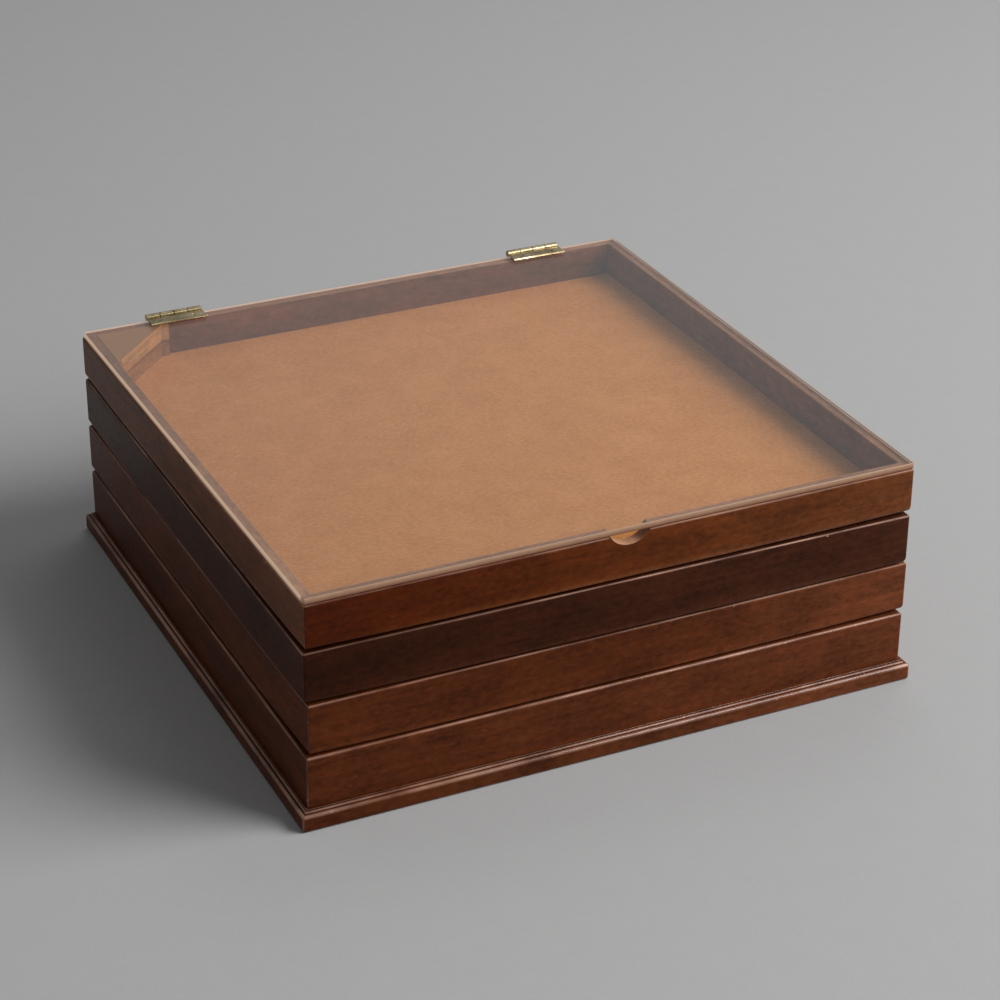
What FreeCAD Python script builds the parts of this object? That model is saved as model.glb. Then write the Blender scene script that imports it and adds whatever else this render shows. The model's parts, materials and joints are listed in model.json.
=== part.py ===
import FreeCAD, Part
import math
import os

# A jewelry display box: four stacked wooden tiers that fan out about one upright corner pivot, on a
# moulded base, with a hinged clear lid over the top tier. Sizes are millimetres. X runs right along the
# front, Y runs to the rear and Z up, from the middle of the base moulding's underside.

# Tier frames
tier_width = 305.0
tier_depth = 305.0
tier_height = 25.5
top_tier_height = 22.6
wall_thickness = 6.0
corner_ease = 1.2
top_ease = 1.5
bottom_ease = 3.0
inner_ease = 0.8
base_arris = 0.5

# Floor panels, held in grooves in the walls
panel_thickness = 3.0
panel_play = 0.1
groove_depth = 3.0
groove_lift = 2.0

# Base moulding
moulding_height = 10.0
moulding_overhang = 4.0
moulding_step = 1.1
moulding_step_height = 1.4
moulding_cove = 1.0
moulding_bead = 1.8
moulding_lower_ease = 1.5
moulding_arris = 0.3

# Corner blocks and the pivot through them
block_leg = 38.0
block_lip = 4.0
block_lip_thickness = 1.6
pivot_inset = 11.0
bolt_radius = 3.0
bolt_head_across_flats = 10.0
bolt_head_height = 4.0
bolt_engagement = 12.0
bolt_clearance = 0.08
washer_radius = 8.0
washer_thickness = 0.9
washer_room = 1.0
swing_gap = 0.1
insert_radius = 4.5
insert_length = 13.0
insert_clearance = 0.05
blind_depth = 1.5
glide_margin = 0.3

# How far each swinging tier stands turned from the base, in degrees
third_tier_swing = 0.25
second_tier_swing = -0.06
top_tier_swing = 0.15

# Lid and the finger notch under its front edge
lid_thickness = 3.0
lid_inset = 0.3
lid_seat_gap = 0.1
lid_corner_radius = 1.0
lid_edge_chamfer = 0.4
notch_width = 20.0
notch_depth = 5.7
notch_offset = 3.5

# Butt hinges
hinge_length = 30.0
hinge_inset = 49.5
knuckle_count = 4
knuckle_gap = 0.15
barrel_radius = 1.8
barrel_clearance = 0.4
pin_radius = 0.9
pin_clearance = 0.05
leaf_thickness = 0.8
leaf_width = 9.8
leaf_corner_radius = 0.5
screw_spacing = 18.0
screw_from_pin = 7.0
screw_head_radius = 1.7
screw_shank_radius = 0.9
screw_clearance = 0.05
screw_sides = 12
lid_screw_cover = 0.5
wall_screw_length = 5.0

# Places that follow from the sizes
tier_gap = washer_thickness + swing_gap
base_floor = moulding_height
third_floor = base_floor + tier_height + tier_gap
second_floor = third_floor + tier_height + tier_gap
top_floor = second_floor + tier_height + tier_gap
rim = top_floor + top_tier_height
lid_bottom = rim + lid_seat_gap
lid_top = lid_bottom + lid_thickness
pin_height = lid_top + leaf_thickness / 2
pin_rear = tier_depth / 2 + leaf_thickness / 2
lid_rear = pin_rear - barrel_radius - barrel_clearance
inner_left = wall_thickness - tier_width / 2
inner_rear = tier_depth / 2 - wall_thickness
pivot_x = inner_left + pivot_inset
pivot_y = inner_rear - pivot_inset
moulding_width = moulding_overhang + wall_thickness + pivot_inset - washer_radius - washer_room
hinge_places = {
    "left_hinge": hinge_inset - tier_width / 2,
    "right_hinge": tier_width / 2 - hinge_inset,
}

X = FreeCAD.Vector(1, 0, 0)
Y = FreeCAD.Vector(0, 1, 0)
Z = FreeCAD.Vector(0, 0, 1)
ORIGIN = FreeCAD.Vector(0, 0, 0)
RIGHT_ANGLE = math.degrees(math.pi / 2)
HEXAGON = 6


def rounded_face(corners):
    """Flat face through corners, each a point and the radius that its corner is rounded to."""
    turns = []
    for index, (point, radius) in enumerate(corners):
        to_last = (corners[index - 1][0] - point).normalize()
        to_next = (corners[(index + 1) % len(corners)][0] - point).normalize()
        half_angle = to_last.getAngle(to_next) / 2
        setback = radius / math.tan(half_angle)
        middle = point
        if radius:
            inward = (to_last + to_next).normalize()
            middle = point + inward * radius * (1 / math.sin(half_angle) - 1)
        turns.append((point + to_last * setback, middle, point + to_next * setback))
    edges = []
    for index, (start, middle, end) in enumerate(turns):
        if corners[index][1]:
            edges.append(Part.Arc(start, middle, end).toShape())
        following = turns[(index + 1) % len(turns)][0]
        edges.append(Part.LineSegment(end, following).toShape())
    return Part.Face(Part.Wire(edges))


def plan_prism(corners, floor, height):
    """Upright prism over plan corners given as x, y and corner radius."""
    points = [(FreeCAD.Vector(x, y, floor), radius) for x, y, radius in corners]
    return rounded_face(points).extrude(Z * height)


def cylinder(radius, length, start, direction):
    """Round bar from a start point along a direction."""
    return Part.makeCylinder(radius, length, start, direction)


def flat_face(points):
    """Flat face inside a closed run of points."""
    return Part.Face(Part.makePolygon(points + points[:1]))


def faceted_turning(sides, profile):
    """Solid round Z with flat sides, through rings given as corner radius and height."""
    turns = [index * 2 * math.pi / sides for index in range(sides)]
    spokes = [FreeCAD.Vector(math.cos(turn), math.sin(turn), 0) for turn in turns]
    rings = [[spoke * radius + Z * height for spoke in spokes] for radius, height in profile]
    faces = [flat_face(rings[0]), flat_face(rings[-1])]
    for upper, lower in zip(rings, rings[1:]):
        for index in range(sides):
            faces.append(flat_face([upper[index - 1], upper[index], lower[index], lower[index - 1]]))
    return Part.Solid(Part.Shell(faces))


def tier_wall_section(height, lower_ease):
    """Corners of a tier wall's section: depth in from the outer face, height, and corner radius."""
    groove_top = groove_lift + panel_thickness + panel_play
    groove_back = wall_thickness - groove_depth
    return [
        (0, 0, lower_ease),
        (wall_thickness, 0, 0),
        (wall_thickness, groove_lift, 0),
        (groove_back, groove_lift, 0),
        (groove_back, groove_top, 0),
        (wall_thickness, groove_top, 0),
        (wall_thickness, height, inner_ease),
        (0, height, top_ease),
    ]


def moulding_section():
    """Corners of the base moulding's section: a rounded bead, a cove and a flat step under the wall."""
    step = moulding_overhang - moulding_step
    shoulder = moulding_height - moulding_step_height
    return [
        (0, 0, moulding_lower_ease),
        (moulding_width, 0, 0),
        (moulding_width, moulding_height, 0),
        (step, moulding_height, moulding_arris),
        (step, shoulder, moulding_cove),
        (0, shoulder, moulding_bead),
    ]


def mitred_side(section, run, reach, outline):
    """Carry a section along one side, cut its ends at 45 degrees and ease the upright corners.

    The side is made at the front, with its outer face at -reach, and outline is the eased plan of
    the whole frame.
    """
    half = run / 2
    depth = max(corner[0] for corner in section)
    points = [(FreeCAD.Vector(-half, y - reach, z), radius) for y, z, radius in section]
    bar = rounded_face(points).extrude(X * run)
    height = bar.BoundBox.ZLength
    mitre = [
        (-half, -reach, 0),
        (half, -reach, 0),
        (half - depth, depth - reach, 0),
        (depth - half, depth - reach, 0),
    ]
    return bar.common(plan_prism(mitre, 0, height)).common(outline)


def mitred_frame(section, width, depth, floor):
    """Front, right, rear and left sides of a mitred frame, standing on the floor height."""
    height = max(corner[1] for corner in section)
    sides = {}
    for turn, name in enumerate(("front", "right", "rear", "left")):
        run, across = (width, depth) if turn % 2 == 0 else (depth, width)
        outline = [
            (-run / 2, -across / 2, corner_ease),
            (run / 2, -across / 2, corner_ease),
            (run / 2, across / 2, corner_ease),
            (-run / 2, across / 2, corner_ease),
        ]
        side = mitred_side(section, run, across / 2, plan_prism(outline, 0, height))
        side.rotate(ORIGIN, Z, turn * RIGHT_ANGLE)
        side.translate(Z * floor)
        sides[name] = side
    return sides


def block_face_run(growth):
    """Plan points along the block's inner side, from the rear wall to the left wall, grown outwards."""
    skew = growth * (math.sqrt(2) - 1)
    return [
        (inner_left + block_leg + growth, inner_rear - block_lip_thickness - growth, 0),
        (inner_left + block_leg - block_lip + skew, inner_rear - block_lip_thickness - growth, 0),
        (inner_left + block_lip_thickness + growth, inner_rear - block_leg + block_lip - skew, 0),
        (inner_left + block_lip_thickness + growth, inner_rear - block_leg - growth, 0),
    ]


def pivot_block(floor, height, hole_radius, hole_depth):
    """Triangular block glued into the rear left corner, as high as its tier and bored from below."""
    plan = [(inner_left, inner_rear, 0), (inner_left + block_leg, inner_rear, 0)]
    plan += block_face_run(0)
    plan += [(inner_left, inner_rear - block_leg, 0)]
    hole = cylinder(hole_radius, hole_depth, FreeCAD.Vector(pivot_x, pivot_y, floor), Z)
    return plan_prism(plan, floor, height).cut(hole)


def bored_block(floor):
    """Block of a lower tier, with the bolt's hole right through it."""
    return pivot_block(floor, tier_height, bolt_radius + bolt_clearance, tier_height)


def top_block():
    """Block of the top tier, with a blind hole for the threaded insert."""
    hole_radius = insert_radius + insert_clearance
    return pivot_block(top_floor, top_tier_height, hole_radius, insert_length + blind_depth)


def threaded_insert():
    """Insert in the top block, flush with its underside."""
    start = FreeCAD.Vector(pivot_x, pivot_y, top_floor)
    sleeve = cylinder(insert_radius, insert_length, start, Z)
    return sleeve.cut(cylinder(bolt_radius + insert_clearance, insert_length, start, Z))


def pivot_bolt():
    """Hexagon-headed bolt from under the base tier's block up into the insert."""
    head_top = base_floor - tier_gap
    corner_radius = bolt_head_across_flats / 2 / math.cos(math.pi / HEXAGON)
    head = faceted_turning(HEXAGON, [(corner_radius, 0), (corner_radius, -bolt_head_height)])
    shank = cylinder(bolt_radius, top_floor + bolt_engagement - head_top, ORIGIN, Z)
    bolt = head.fuse(shank).removeSplitter()
    return bolt.translated(FreeCAD.Vector(pivot_x, pivot_y, head_top))


def pivot_washer(top):
    """Flat washer on the pivot, with its upper face at the height given."""
    start = FreeCAD.Vector(pivot_x, pivot_y, top - washer_thickness)
    disc = cylinder(washer_radius, washer_thickness, start, Z)
    return disc.cut(cylinder(bolt_radius + bolt_clearance, washer_thickness, start, Z))


def felt_glides(floor):
    """Felt squares under the three free corners of a swinging tier, as thick as the pivot washer."""
    inner = wall_thickness - glide_margin
    outer = bottom_ease + glide_margin
    squares = []
    for side, end in ((-1, -1), (1, -1), (1, 1)):
        across = [side * (tier_width / 2 - inset) for inset in (inner, outer)]
        along = [end * (tier_depth / 2 - inset) for inset in (inner, outer)]
        plan = [
            (across[0], along[0], 0),
            (across[1], along[0], 0),
            (across[1], along[1], 0),
            (across[0], along[1], 0),
        ]
        squares.append(plan_prism(plan, floor - washer_thickness, washer_thickness))
    return Part.makeCompound(squares)


def floor_panel(floor):
    """Hardboard floor in the wall grooves, notched round the corner block."""
    half_width = tier_width / 2 - wall_thickness + groove_depth - panel_play
    half_depth = tier_depth / 2 - wall_thickness + groove_depth - panel_play
    run = block_face_run(panel_play)
    plan = [
        (-half_width, -half_depth, 0),
        (half_width, -half_depth, 0),
        (half_width, half_depth, 0),
        (run[0][0], half_depth, 0),
    ]
    plan += run
    plan += [(-half_width, run[-1][1], 0)]
    return plan_prism(plan, floor + groove_lift, panel_thickness)


def tier(name, floor, height, lower_ease):
    """Four mitred walls and the floor panel of one tier."""
    section = tier_wall_section(height, lower_ease)
    walls = mitred_frame(section, tier_width, tier_depth, floor)
    pieces = {name + "_" + side + "_wall": wall for side, wall in walls.items()}
    pieces[name + "_floor_panel"] = floor_panel(floor)
    return pieces


def finger_notch():
    """Round cutter for the notch in the top front wall, from its width and depth."""
    radius = (notch_width ** 2 / 4 + notch_depth ** 2) / (2 * notch_depth)
    start = FreeCAD.Vector(notch_offset, -tier_depth / 2, rim - notch_depth + radius)
    return cylinder(radius, wall_thickness, start, Y)


def countersunk_screw(length, growth):
    """Screw along Z with the top of its head at the origin and the head as deep as the leaf."""
    shank_radius = screw_shank_radius + growth
    profile = [
        (screw_head_radius + growth, 0),
        (shank_radius, -leaf_thickness),
        (shank_radius, -length - growth),
    ]
    return faceted_turning(screw_sides, profile)


def on_leaf(shape):
    """Copies of a screw shape at a leaf's two holes, in the hinge's own frame with its pin along X."""
    copies = []
    for side in (-1, 1):
        copy = shape.copy()
        place = FreeCAD.Vector(side * screw_spacing / 2, -screw_from_pin, leaf_thickness / 2)
        copy.translate(place)
        copies.append(copy)
    return copies


def hinge_leaf(screw_holes):
    """Leaf that lies forward of the pin, with every other knuckle of the barrel.

    Both leaves are the same piece: turned end for end, one fills the other's gaps.
    """
    pitch = hinge_length / knuckle_count
    half = hinge_length / 2
    plate = plan_prism(
        [
            (-half, -leaf_width, leaf_corner_radius),
            (half, -leaf_width, leaf_corner_radius),
            (half, 0, 0),
            (-half, 0, 0),
        ],
        -leaf_thickness / 2,
        leaf_thickness,
    )
    knuckles = []
    for index in range(knuckle_count):
        start = index * pitch - half
        if index % 2 == 0:
            place = X * (start + knuckle_gap / 2)
            knuckles.append(cylinder(barrel_radius, pitch - knuckle_gap, place, X))
        else:
            place = X * (start - knuckle_gap / 2)
            reach = barrel_radius + barrel_clearance
            corner = place - (Y + Z) * reach
            plate = plate.cut(Part.makeBox(pitch + knuckle_gap, 2 * reach, 2 * reach, corner))
    bore = cylinder(pin_radius + pin_clearance, hinge_length, X * -half, X)
    return plate.multiFuse(knuckles).removeSplitter().cut(bore).cut(Part.makeCompound(screw_holes))


def to_wall(shape):
    """Turn a piece of the lid's leaf end for end and down, to the leaf on the wall's back."""
    turned = shape.copy()
    turned.rotate(ORIGIN, Z, 2 * RIGHT_ANGLE)
    turned.rotate(ORIGIN, X, -RIGHT_ANGLE)
    return turned


def lid_sheet():
    """Clear sheet with rounded corners and chamfered edges, set forward of the hinge barrels."""
    half = tier_width / 2 - lid_inset
    front = lid_inset - tier_depth / 2
    plan = [
        (-half, front, lid_corner_radius),
        (half, front, lid_corner_radius),
        (half, lid_rear, lid_corner_radius),
        (-half, lid_rear, lid_corner_radius),
    ]
    sheet = plan_prism(plan, lid_bottom, lid_thickness)
    flat_edges = [edge for edge in sheet.Edges if edge.BoundBox.ZLength < lid_edge_chamfer]
    return sheet.makeChamfer(lid_edge_chamfer, flat_edges)


def build_base():
    """The base moulding, the base tier, its corner block and the washer under it."""
    width = tier_width + 2 * moulding_overhang
    depth = tier_depth + 2 * moulding_overhang
    moulding = mitred_frame(moulding_section(), width, depth, 0)
    pieces = {"base_" + side + "_moulding": length for side, length in moulding.items()}
    pieces.update(tier("base_tier", base_floor, tier_height, base_arris))
    pieces["base_tier_pivot_block"] = bored_block(base_floor)
    pieces["bolt_head_washer"] = pivot_washer(base_floor)
    return pieces


def build_swinging_tier(name, floor):
    """One of the two plain swinging tiers, with its block, washer and glides."""
    pieces = tier(name, floor, tier_height, bottom_ease)
    pieces[name + "_pivot_block"] = bored_block(floor)
    pieces[name + "_pivot_washer"] = pivot_washer(floor)
    pieces[name + "_felt_glides"] = felt_glides(floor)
    return pieces


def build_top():
    """The top tier with its finger notch, the lid and the two hinges between them."""
    pieces = tier("top_tier", top_floor, top_tier_height, bottom_ease)
    pieces["top_tier_pivot_block"] = top_block()
    pieces["top_tier_pivot_washer"] = pivot_washer(top_floor)
    pieces["top_tier_felt_glides"] = felt_glides(top_floor)
    pieces["threaded_insert"] = threaded_insert()
    pieces["pivot_bolt"] = pivot_bolt()
    front = pieces["top_tier_front_wall"]
    pieces["top_tier_front_wall"] = front.cut(finger_notch())
    lid_screw_length = leaf_thickness + lid_thickness - lid_screw_cover
    lid_holes = on_leaf(countersunk_screw(lid_screw_length, screw_clearance))
    wall_holes = [to_wall(hole) for hole in on_leaf(countersunk_screw(wall_screw_length, screw_clearance))]
    leaf = hinge_leaf(lid_holes)
    hinge = {
        "lid_leaf": [leaf],
        "wall_leaf": [to_wall(leaf)],
        "pin": [cylinder(pin_radius, hinge_length, X * (-hinge_length / 2), X)],
        "lid_screws": on_leaf(countersunk_screw(lid_screw_length, 0)),
        "wall_screws": [to_wall(screw) for screw in on_leaf(countersunk_screw(wall_screw_length, 0))],
    }
    lid = lid_sheet()
    rear = pieces["top_tier_rear_wall"]
    for place_name, place_x in hinge_places.items():
        place = FreeCAD.Vector(place_x, pin_rear, pin_height)
        for hole in lid_holes:
            lid = lid.cut(hole.translated(place))
        for hole in wall_holes:
            rear = rear.cut(hole.translated(place))
        for kind, solids in hinge.items():
            moved = [solid.translated(place) for solid in solids]
            pieces[place_name + "_" + kind] = Part.makeCompound(moved)
    pieces["acrylic_lid"] = lid
    pieces["top_tier_rear_wall"] = rear
    return pieces


def swung(pieces, angle):
    """Turn a tier's pieces about the corner pivot."""
    for shape in pieces.values():
        shape.rotate(FreeCAD.Vector(pivot_x, pivot_y, 0), Z, angle)
    return pieces


nodes = build_base()
nodes.update(swung(build_swinging_tier("third_tier", third_floor), third_tier_swing))
nodes.update(swung(build_swinging_tier("second_tier", second_floor), second_tier_swing))
nodes.update(swung(build_top(), top_tier_swing))

os.makedirs("parts", exist_ok=True)
for node_name, node_shape in nodes.items():
    node_shape.exportStep(os.path.join("parts", node_name + ".step"))
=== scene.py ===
"""Looks of a four-tier swivel display box with a hinged clear lid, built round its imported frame."""

import json
import math
from typing import NamedTuple

import bmesh
import bpy
import numpy as np
from bpy.props import FloatProperty, FloatVectorProperty, IntProperty, PointerProperty
from mathutils import Matrix, Vector
from mathutils.geometry import tessellate_polygon


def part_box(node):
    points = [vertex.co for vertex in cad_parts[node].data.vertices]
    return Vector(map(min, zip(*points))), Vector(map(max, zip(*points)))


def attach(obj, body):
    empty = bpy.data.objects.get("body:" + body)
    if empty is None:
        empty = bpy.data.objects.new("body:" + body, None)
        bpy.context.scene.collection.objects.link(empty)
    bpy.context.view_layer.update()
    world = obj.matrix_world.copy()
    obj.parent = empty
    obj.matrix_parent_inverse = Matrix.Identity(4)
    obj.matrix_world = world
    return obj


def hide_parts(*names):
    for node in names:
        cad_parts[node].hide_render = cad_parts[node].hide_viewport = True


bl_info = {
    "name": "Swivel display box",
    "version": (1, 0, 0),
    "blender": (4, 5, 0),
    "location": "View3D > Sidebar > Display Box",
    "description": "Builds the pieces, the finishes and the stage of a tiered display box",
    "category": "Add Mesh",
}

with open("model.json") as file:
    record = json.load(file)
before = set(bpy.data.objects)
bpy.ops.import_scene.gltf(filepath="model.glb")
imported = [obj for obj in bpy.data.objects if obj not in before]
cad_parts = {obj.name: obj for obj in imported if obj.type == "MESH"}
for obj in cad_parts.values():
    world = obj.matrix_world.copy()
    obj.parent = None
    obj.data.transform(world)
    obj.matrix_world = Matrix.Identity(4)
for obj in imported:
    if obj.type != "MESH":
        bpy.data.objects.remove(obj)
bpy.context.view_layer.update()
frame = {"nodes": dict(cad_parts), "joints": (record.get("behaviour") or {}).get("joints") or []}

MM = 0.001
QUARTER_TURN = math.pi / 2
FULL_TURN = 2 * math.pi
WHITE = (1.0, 1.0, 1.0, 1.0)
SIDES = ("front", "right", "rear", "left")
SWINGING_TIERS = ("third_tier", "second_tier", "top_tier")
HINGES = ("left_hinge", "right_hinge")

# Points and spacing of the worked-out surfaces
ARC_STEPS = 6
CORNER_STEPS = 4
FACE_POINTS = 10
NOTCH_POINTS = 25
ARRIS_POINTS = 4
HOLE_POINTS = 32
KNUCKLE_POINTS = 40
HEAD_SLICES = 25
HEAD_LEVELS = 7
SHANK_POINTS = 24
PAD_GRID = (15, 41)
FLOOR_GRID = (25, 97)
HOLD = 0.35 * MM
STATION_SPACING = 9 * MM
MITRE_LEAN = 20 * MM
SHARP_ANGLE = math.radians(32)
MERGE_DISTANCE = 1e-7

# Waves of a hand-sanded edge: radians per metre, phase for each seed, and height
EASE_WAVES = ((57, 2.1, 1.0), (146, 3.7, 0.6))

# Share of a lower ease left in the middle of a side, and the power by which it grows towards the ends
MIDDLE_EASE = 0.4
EASE_POWER = 4

# How much lower edges, upright corners and the rim under the lid wear beside other upper edges, in a worn
# line that is partly a painted highlight
LOW_WEAR = 0.25
CORNER_WEAR = 0.8
LID_WEAR = 0.9

# Height, in lower eases, of the painted light from below on a tier's lower edge, how it grows, and how bright
# it gets
PAINTED_UNDERLIGHT_REACH = 1.4
PAINTED_UNDERLIGHT_POWER = 2.0
PAINTED_UNDERLIGHT_GAIN = 1.8

# Painted light and shade on the stain at the start, middle and end of each side but the front
SIDE_PAINTED_LIGHT = {"right": (1.40, 1.40, 1.40), "rear": (1.30, 1.30, 1.30), "left": (1.20, 1.30, 1.40)}

# Painted light on each side's inner face, as a factor on the stain, and the share of the depth where it
# starts
INNER_PAINTED_LIGHT = {"front": 1.2, "right": 1.42, "rear": 1.25, "left": 1.2}
INNER_START = 0.85

# Painted brightness of the stain over which an edge's worn line grows to its full strength
WEAR_PAINTED_LIGHT = (0.8, 1.4)

# How much rougher raw wood is than varnished
RAW_ROUGHNESS = 0.4

# How far the top tier's rim is without stain at the start and end of each side
RIM_RAW = {"front": (0.65, 0.65), "right": (0.65, 0.65), "rear": (0.60, 0.20), "left": (0.20, 0.65)}

# How far the notch is without stain: in its middle, how fast that falls to the right as painted shade on the
# flank facing away from the light, and at least
NOTCH_RAW = 1.6
NOTCH_PAINTED_SHADE_FALL = 4.4
NOTCH_RAW_LEAST = 0.3

# Depth of that cut wood below the notch's rim, in arrises
NOTCH_RAW_REACH = 1.5

# The wood's figure: its step for each count of a seed, its cycle and its step from side to side, in metres
BOARD_STEP = 1.7
BOARD_CYCLE = 11
SIDE_STEP = 0.31

# Turns of the slots of a leaf's two screws, and the room beside a slot's walls as a share of half the slot
SLOT_TURNS = (math.radians(35), math.radians(105))
SLOT_ROOM = 0.02

# Share of a screw's head at which the shank starts inside it, and the share of its radius there
SHANK_START = 0.8
SHANK_TAPER = 0.9

# Powers of a felt pad's plan, flank and crown, and the depth and counts of its uneven spots
PAD_PLAN = 0.4
PAD_FLANK = 0.35
PAD_CROWN = 0.45
PAD_FUZZ = 0.03
PAD_SPOTS = (7, 5)

# Plan signs of the three free corners of a swinging tier
FREE_CORNERS = ((-1, -1), (1, -1), (1, 1))

# A corner block's glue line: its height, its fade and where the browner wood below starts, as shares
GLUE_LEVEL = 0.58
GLUE_WIDTH = (0.05, 0.01)
BLOCK_LOWER = (0.62, 0.56)

# Upward part of the normal over which a block's sides turn into its top, and the top's share of thin stain
BLOCK_TURN = (0.6, 0.9)
BLOCK_TOP = 0.75

# Half width over which painted light on the floor panels grows towards the right, and their brightness at its
# ends
PANEL_LIGHT_REACH = 150 * MM
PANEL_LIGHT_ENDS = (0.87, 1.04)

# Brightness of the film on the zinc beside the clean metal
STEEL_DULLING = 0.55

# Least upward part of the normal on the lid's flat faces
FLAT_NORMAL = 0.9

# Share of the lid's height above which no painted reflection of the wood below shows in its edge
CLEAN_EDGE = 0.7

# Distances from the lid's front and rear over which the painted glow of its edge changes
GLOW_NEAR = 1.5 * MM
GLOW_FAR = 4 * MM

# Diameter and place of each soft light, in metres
KEY_LIGHT = (2.4, (2.05, -1.45, 1.85))
OVERHEAD_LIGHT = (0.8, (0.6, 0.6, 1.5))
CARD_LIGHT = (2.0, (0.85, 1.8, 1.1))

# Radius of the floor's first and last ring, and the camera's sensor in millimetres
FLOOR_RINGS = (0.05, 9.0)
SENSOR = 36.0


class WoodLook(NamedTuple):
    """How one part's stain varies and how its edges wear.

    front_painted_light is painted light and shade on the stain at the start, middle and end of the front,
    and left_painted_shade is a factor of painted light and shade on the left side. wear_focus narrows the
    worn line of an edge, which is partly a painted highlight, edge_shine is the varnish that shines there,
    and wear_start is how much of the line shows where the painted light is lowest. painted_light_powers
    holds the powers by which green and blue grow where the painted light brightens the stain.
    """

    front_painted_light: tuple
    left_painted_shade: float
    wear_focus: float
    edge_shine: float
    wear_start: float = 0.5
    painted_light_powers: tuple = (1.4, 2.2)


WOOD_LOOKS = {
    "top_tier": WoodLook((0.74, 1.13, 1.51), 1.2, 5.0, 0.08, painted_light_powers=(2.0, 4.0)),
    "second_tier": WoodLook((0.86, 1.18, 1.50), 1.2, 8.0, 0.08, wear_start=0.15),
    "third_tier": WoodLook((0.91, 0.85, 1.47), 0.85, 6.0, 0.1),
    "base_tier": WoodLook((0.91, 1.05, 1.30), 0.72, 3.0, 0.25),
    "moulding": WoodLook((0.80, 1.10, 1.40), 0.8, 1.5, 0.6),
}


# Settings


def length(name, description, default):
    """Property for a size in metres."""
    return FloatProperty(
        name=name, description=description, default=default, min=0, unit="LENGTH", precision=5
    )


def angle(name, description, degrees):
    """Property for an angle, given in degrees."""
    return FloatProperty(
        name=name, description=description, default=math.radians(degrees), subtype="ANGLE"
    )


def colour(name, description, default):
    """Property for a colour in linear light."""
    return FloatVectorProperty(
        name=name, description=description, default=default, size=3, min=0, max=1, subtype="COLOR"
    )


def amount(name, description, default):
    """Property for a plain share or strength."""
    return FloatProperty(name=name, description=description, default=default, min=0)


class TierSettings(bpy.types.PropertyGroup):
    """Edges and cuts of the tier walls."""

    corner_ease: length("Corner ease", "Radius of the upright corners", 1.2 * MM)
    top_ease: length("Top ease", "Radius of the outer upper edge", 1.5 * MM)
    bottom_ease: length("Bottom ease", "Radius of a swinging tier's outer lower edge", 3.0 * MM)
    inner_ease: length("Inner ease", "Radius of the inner upper edge", 0.8 * MM)
    base_arris: length("Base arris", "Radius of the base tier's outer lower edge", 0.5 * MM)
    ease_waver: amount("Ease waver", "Share by which hand sanding varies an upper ease", 0.16)
    panel_play: length("Panel play", "Room round the floor panel in its groove", 0.1 * MM)
    notch_width: length("Notch width", "Width of the finger notch at the rim", 20.0 * MM)
    notch_depth: length("Notch depth", "Depth of the finger notch", 5.7 * MM)
    notch_offset: length("Notch offset", "Distance of the notch to the right of the middle", 3.5 * MM)
    notch_arris: length("Notch arris", "Radius of the edges of the notch", 0.2 * MM)


class MouldingSettings(bpy.types.PropertyGroup):
    """Section of the base moulding."""

    step: length("Step", "Depth of the flat step beside the bead", 1.1 * MM)
    step_height: length("Step height", "Height of the step over the bead", 1.4 * MM)
    cove: length("Cove", "Radius of the hollow between step and bead", 1.0 * MM)
    bead: length("Bead", "Radius of the rounded upper edge", 1.8 * MM)
    lower_ease: length("Lower ease", "Radius of the lower edge", 1.5 * MM)
    arris: length("Arris", "Radius of the step's edge", 0.3 * MM)


class LidSettings(bpy.types.PropertyGroup):
    """Edges of the clear lid and its screw holes."""

    corner_radius: length("Corner radius", "Radius of the lid's corners", 1.0 * MM)
    edge_chamfer: length("Edge chamfer", "Width of the lid's chamfers", 0.4 * MM)
    hole_clearance: length("Hole clearance", "Room round a screw", 0.05 * MM)


class HingeSettings(bpy.types.PropertyGroup):
    """Details of the butt hinges and their screws."""

    knuckle_count: IntProperty(name="Knuckles", description="Knuckles along a barrel", default=4, min=2)
    knuckle_gap: length("Knuckle gap", "Gap between two knuckles", 0.15 * MM)
    knuckle_room: length("Knuckle room", "Gap between a leaf and the other leaf's knuckle", 0.4 * MM)
    knuckle_chamfer: length("Knuckle chamfer", "Chamfer on the ends of a knuckle", 0.18 * MM)
    pin_clearance: length("Pin clearance", "Room round the pin", 0.05 * MM)
    leaf_arris: length("Leaf arris", "Rounding of a leaf's edges", 0.16 * MM)
    leaf_bevel: length("Leaf bevel", "Width of the bevel along a leaf's front edge", 0.45 * MM)
    bevel_drop: length("Bevel drop", "Height that a leaf loses over its bevel", 0.42 * MM)
    shank_radius: length("Shank radius", "Radius of a screw's shank", 0.9 * MM)
    slot_width: length("Slot width", "Width of the slot in a screw's head", 0.5 * MM)
    slot_depth: length("Slot depth", "Depth of the slot in a screw's head", 0.35 * MM)


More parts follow.
